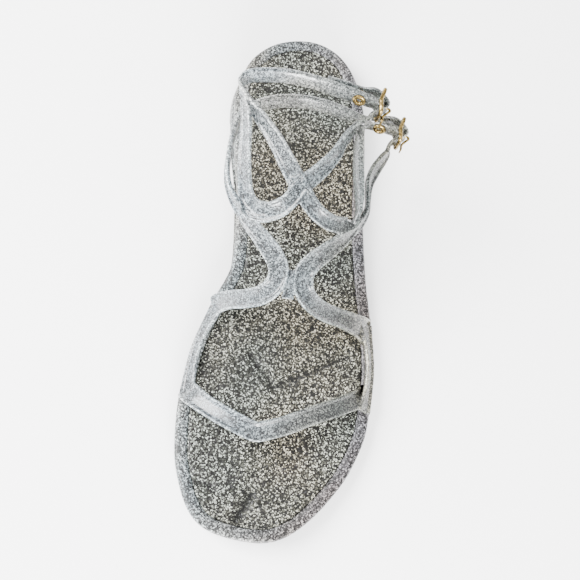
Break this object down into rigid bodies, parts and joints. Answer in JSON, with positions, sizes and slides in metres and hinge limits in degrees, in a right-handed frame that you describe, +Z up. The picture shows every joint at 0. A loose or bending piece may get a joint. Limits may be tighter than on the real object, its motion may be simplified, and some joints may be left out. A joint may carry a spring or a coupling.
{
  "type": "jelly sandal",
  "caption": "Flat moulded jelly sandal in silver glitter: V toe strap, curved bands meeting over the instep, crossed ankle straps, small gold buckles on the outer side, low heel block.",
  "frame": {"origin": "on the floor, under the centre of the shoe's box in plan", "axes": "-Y toward the toe, +Y toward the heel, +X toward the outer side of this left shoe, +Z up"},
  "size_m": [0.089, 0.2478, 0.0726],
  "materials": {
    "sole_jelly": "soft translucent PVC full of silver glitter, semi-gloss",
    "footbed_jelly": "soft PVC full of silver glitter, semi-gloss",
    "strap_jelly": "soft translucent PVC with fine silver glitter, glossy",
    "gold_metal": "plated bright pale gold"
  },
  "bodies": {
    "root": {"outsole": "sole_jelly", "insole": "footbed_jelly", "upper": "strap_jelly", "buckle_frame_a": "gold_metal", "buckle_frame_b": "gold_metal", "buckle_prong_a": "gold_metal", "buckle_prong_b": "gold_metal", "eyelet_a": "gold_metal", "eyelet_b": "gold_metal"}
  },
  "joints": []
}
